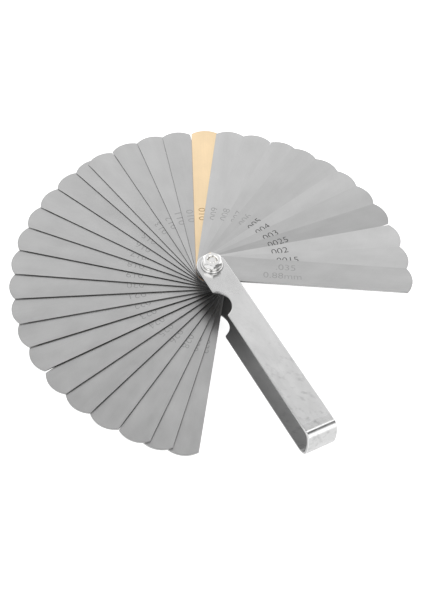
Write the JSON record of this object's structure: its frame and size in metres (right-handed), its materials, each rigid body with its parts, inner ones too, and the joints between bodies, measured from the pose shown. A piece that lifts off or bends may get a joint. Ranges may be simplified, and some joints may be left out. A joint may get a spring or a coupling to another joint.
{
  "type": "feeler gauge",
  "caption": "Folding feeler gauge: thin steel gauge blades and one brass blade turn about a screw in a U-folded steel case and fan out to measure small gaps.",
  "frame": {"origin": "on the pivot screw's axis, at the flat crown of the screw head under the back cover, which is the plane the gauge rests on", "axes": "+Z along the pivot screw from its head to the nut, +X from the screw along the case to its folded end, +Y across the case; a blade is folded away when it points along +X"},
  "size_m": [0.1714, 0.1647, 0.0206],
  "materials": {
    "blade_steel": "fine ground spring steel, lightly oiled",
    "brass": "rolled brass strip, satin",
    "case_sheet": "brushed sheet steel, satin",
    "fastener": "bright plated steel"
  },
  "bodies": {
    "case": {"case": "case_sheet", "pivot_screw": "fastener", "plain_washer": "fastener", "spring_washer": "fastener", "hex_nut": "fastener"},
    "blade_035": {"blade_035": "blade_steel"},
    "blade_0015": {"blade_0015": "blade_steel"},
    "blade_002": {"blade_002": "blade_steel"},
    "blade_0025": {"blade_0025": "blade_steel"},
    "blade_003": {"blade_003": "blade_steel"},
    "blade_004": {"blade_004": "blade_steel"},
    "blade_005": {"blade_005": "blade_steel"},
    "blade_006": {"blade_006": "blade_steel"},
    "blade_007": {"blade_007": "blade_steel"},
    "blade_008": {"blade_008": "blade_steel"},
    "blade_009": {"blade_009": "blade_steel"},
    "blade_010_brass": {"blade_010_brass": "brass"},
    "blade_010": {"blade_010": "blade_steel"},
    "blade_011": {"blade_011": "blade_steel"},
    "blade_012": {"blade_012": "blade_steel"},
    "blade_013": {"blade_013": "blade_steel"},
    "blade_014": {"blade_014": "blade_steel"},
    "blade_015": {"blade_015": "blade_steel"},
    "blade_016": {"blade_016": "blade_steel"},
    "blade_017": {"blade_017": "blade_steel"},
    "blade_018": {"blade_018": "blade_steel"},
    "blade_019": {"blade_019": "blade_steel"},
    "blade_020": {"blade_020": "blade_steel"},
    "blade_021": {"blade_021": "blade_steel"},
    "blade_022": {"blade_022": "blade_steel"},
    "blade_023": {"blade_023": "blade_steel"},
    "blade_024": {"blade_024": "blade_steel"},
    "blade_025": {"blade_025": "blade_steel"},
    "blade_026": {"blade_026": "blade_steel"},
    "blade_028": {"blade_028": "blade_steel"},
    "blade_030": {"blade_030": "blade_steel"},
    "blade_032": {"blade_032": "blade_steel"}
  },
  "joints": [
    {"name": "blade_035_swing", "type": "hinge", "parent": "case", "child": "blade_035", "pos_m": [0, 0, 0.01], "axis": [0, 0, 1], "range_deg": [-59.5, 300.5]},
    {"name": "blade_0015_swing", "type": "hinge", "parent": "case", "child": "blade_0015", "pos_m": [0, 0, 0.01], "axis": [0, 0, 1], "range_deg": [-68.5, 291.5]},
    {"name": "blade_002_swing", "type": "hinge", "parent": "case", "child": "blade_002", "pos_m": [0, 0, 0.01], "axis": [0, 0, 1], "range_deg": [-77.5, 282.5]},
    {"name": "blade_0025_swing", "type": "hinge", "parent": "case", "child": "blade_0025", "pos_m": [0, 0, 0.01], "axis": [0, 0, 1], "range_deg": [-87, 273]},
    {"name": "blade_003_swing", "type": "hinge", "parent": "case", "child": "blade_003", "pos_m": [0, 0, 0.01], "axis": [0, 0, 1], "range_deg": [-96, 264]},
    {"name": "blade_004_swing", "type": "hinge", "parent": "case", "child": "blade_004", "pos_m": [0, 0, 0.01], "axis": [0, 0, 1], "range_deg": [-104.5, 255.5]},
    {"name": "blade_005_swing", "type": "hinge", "parent": "case", "child": "blade_005", "pos_m": [0, 0, 0.01], "axis": [0, 0, 1], "range_deg": [-112.5, 247.5]},
    {"name": "blade_006_swing", "type": "hinge", "parent": "case", "child": "blade_006", "pos_m": [0, 0, 0.01], "axis": [0, 0, 1], "range_deg": [-121, 239]},
    {"name": "blade_007_swing", "type": "hinge", "parent": "case", "child": "blade_007", "pos_m": [0, 0, 0.01], "axis": [0, 0, 1], "range_deg": [-128, 232]},
    {"name": "blade_008_swing", "type": "hinge", "parent": "case", "child": "blade_008", "pos_m": [0, 0, 0.01], "axis": [0, 0, 1], "range_deg": [-137.3, 222.7]},
    {"name": "blade_009_swing", "type": "hinge", "parent": "case", "child": "blade_009", "pos_m": [0, 0, 0.01], "axis": [0, 0, 1], "range_deg": [-146, 214]},
    {"name": "blade_010_brass_swing", "type": "hinge", "parent": "case", "child": "blade_010_brass", "pos_m": [0, 0, 0.01], "axis": [0, 0, 1], "range_deg": [-154, 206]},
    {"name": "blade_010_swing", "type": "hinge", "parent": "case", "child": "blade_010", "pos_m": [0, 0, 0.01], "axis": [0, 0, 1], "range_deg": [-163.5, 196.5]},
    {"name": "blade_011_swing", "type": "hinge", "parent": "case", "child": "blade_011", "pos_m": [0, 0, 0.01], "axis": [0, 0, 1], "range_deg": [-172, 188]},
    {"name": "blade_012_swing", "type": "hinge", "parent": "case", "child": "blade_012", "pos_m": [0, 0, 0.01], "axis": [0, 0, 1], "range_deg": [-180.7, 179.3]},
    {"name": "blade_013_swing", "type": "hinge", "parent": "case", "child": "blade_013", "pos_m": [0, 0, 0.01], "axis": [0, 0, 1], "range_deg": [-189.9, 170.1]},
    {"name": "blade_014_swing", "type": "hinge", "parent": "case", "child": "blade_014", "pos_m": [0, 0, 0.01], "axis": [0, 0, 1], "range_deg": [-195, 165]},
    {"name": "blade_015_swing", "type": "hinge", "parent": "case", "child": "blade_015", "pos_m": [0, 0, 0.01], "axis": [0, 0, 1], "range_deg": [-203.5, 156.5]},
    {"name": "blade_016_swing", "type": "hinge", "parent": "case", "child": "blade_016", "pos_m": [0, 0, 0.01], "axis": [0, 0, 1], "range_deg": [-212.5, 147.5]},
    {"name": "blade_017_swing", "type": "hinge", "parent": "case", "child": "blade_017", "pos_m": [0, 0, 0.01], "axis": [0, 0, 1], "range_deg": [-221, 139]},
    {"name": "blade_018_swing", "type": "hinge", "parent": "case", "child": "blade_018", "pos_m": [0, 0, 0.01], "axis": [0, 0, 1], "range_deg": [-230, 130]},
    {"name": "blade_019_swing", "type": "hinge", "parent": "case", "child": "blade_019", "pos_m": [0, 0, 0.01], "axis": [0, 0, 1], "range_deg": [-239, 121]},
    {"name": "blade_020_swing", "type": "hinge", "parent": "case", "child": "blade_020", "pos_m": [0, 0, 0.01], "axis": [0, 0, 1], "range_deg": [-248, 112]},
    {"name": "blade_021_swing", "type": "hinge", "parent": "case", "child": "blade_021", "pos_m": [0, 0, 0.01], "axis": [0, 0, 1], "range_deg": [-257, 103]},
    {"name": "blade_022_swing", "type": "hinge", "parent": "case", "child": "blade_022", "pos_m": [0, 0, 0.01], "axis": [0, 0, 1], "range_deg": [-265.5, 94.5]},
    {"name": "blade_023_swing", "type": "hinge", "parent": "case", "child": "blade_023", "pos_m": [0, 0, 0.01], "axis": [0, 0, 1], "range_deg": [-274.5, 85.5]},
    {"name": "blade_024_swing", "type": "hinge", "parent": "case", "child": "blade_024", "pos_m": [0, 0, 0.01], "axis": [0, 0, 1], "range_deg": [-284, 76]},
    {"name": "blade_025_swing", "type": "hinge", "parent": "case", "child": "blade_025", "pos_m": [0, 0, 0.01], "axis": [0, 0, 1], "range_deg": [-293, 67]},
    {"name": "blade_026_swing", "type": "hinge", "parent": "case", "child": "blade_026", "pos_m": [0, 0, 0.01], "axis": [0, 0, 1], "range_deg": [-302, 58]},
    {"name": "blade_028_swing", "type": "hinge", "parent": "case", "child": "blade_028", "pos_m": [0, 0, 0.01], "axis": [0, 0, 1], "range_deg": [-311.2, 48.8]},
    {"name": "blade_030_swing", "type": "hinge", "parent": "case", "child": "blade_030", "pos_m": [0, 0, 0.01], "axis": [0, 0, 1], "range_deg": [-317.5, 42.5]},
    {"name": "blade_032_swing", "type": "hinge", "parent": "case", "child": "blade_032", "pos_m": [0, 0, 0.01], "axis": [0, 0, 1], "range_deg": [-324.5, 35.5]}
  ]
}
